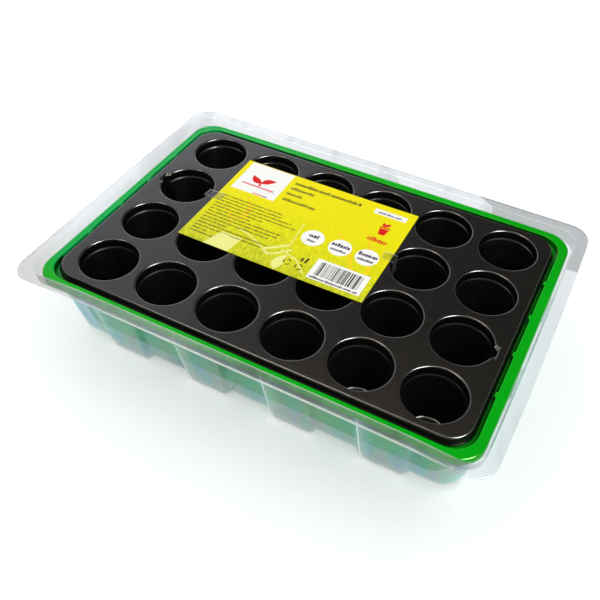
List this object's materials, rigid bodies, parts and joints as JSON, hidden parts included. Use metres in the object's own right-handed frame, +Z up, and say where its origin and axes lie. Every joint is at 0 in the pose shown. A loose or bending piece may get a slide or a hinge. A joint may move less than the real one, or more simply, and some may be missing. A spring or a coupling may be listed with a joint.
{
  "type": "humidity dome tray",
  "caption": "Windowsill propagator set: a clear ribbed dome lid, upturned, holding a green drip tray with a black plug-cell insert and a taped-on label card.",
  "frame": {"origin": "centre of the lid's resting face, on the flats of its roof ribs", "axes": "+X along the long side, +Y towards the long side away from the viewer, +Z up out of the cells"},
  "size_m": [0.2998, 0.21, 0.0669],
  "materials": {
    "clear_pet": "clear thermoformed sheet, glossy, slightly wavy",
    "green_ps": "thermoformed sheet, soft gloss",
    "black_ps": "thermoformed sheet, satin with fine scuffs",
    "printed_card": "printed card with a light varnish",
    "clear_tape": "clear packing film"
  },
  "bodies": {
    "lid": {"dome": "clear_pet"},
    "tray": {"drip_tray": "green_ps"},
    "insert": {"cell_insert": "black_ps", "label_card": "printed_card", "tape_left": "clear_tape", "tape_right": "clear_tape"}
  },
  "joints": [
    {"name": "tray_lift", "type": "slide", "parent": "lid", "child": "tray", "axis": [0, 0, 1], "range_m": [0, 0.1]},
    {"name": "insert_lift", "type": "slide", "parent": "tray", "child": "insert", "axis": [0, 0, 1], "range_m": [0, 0.07]}
  ]
}
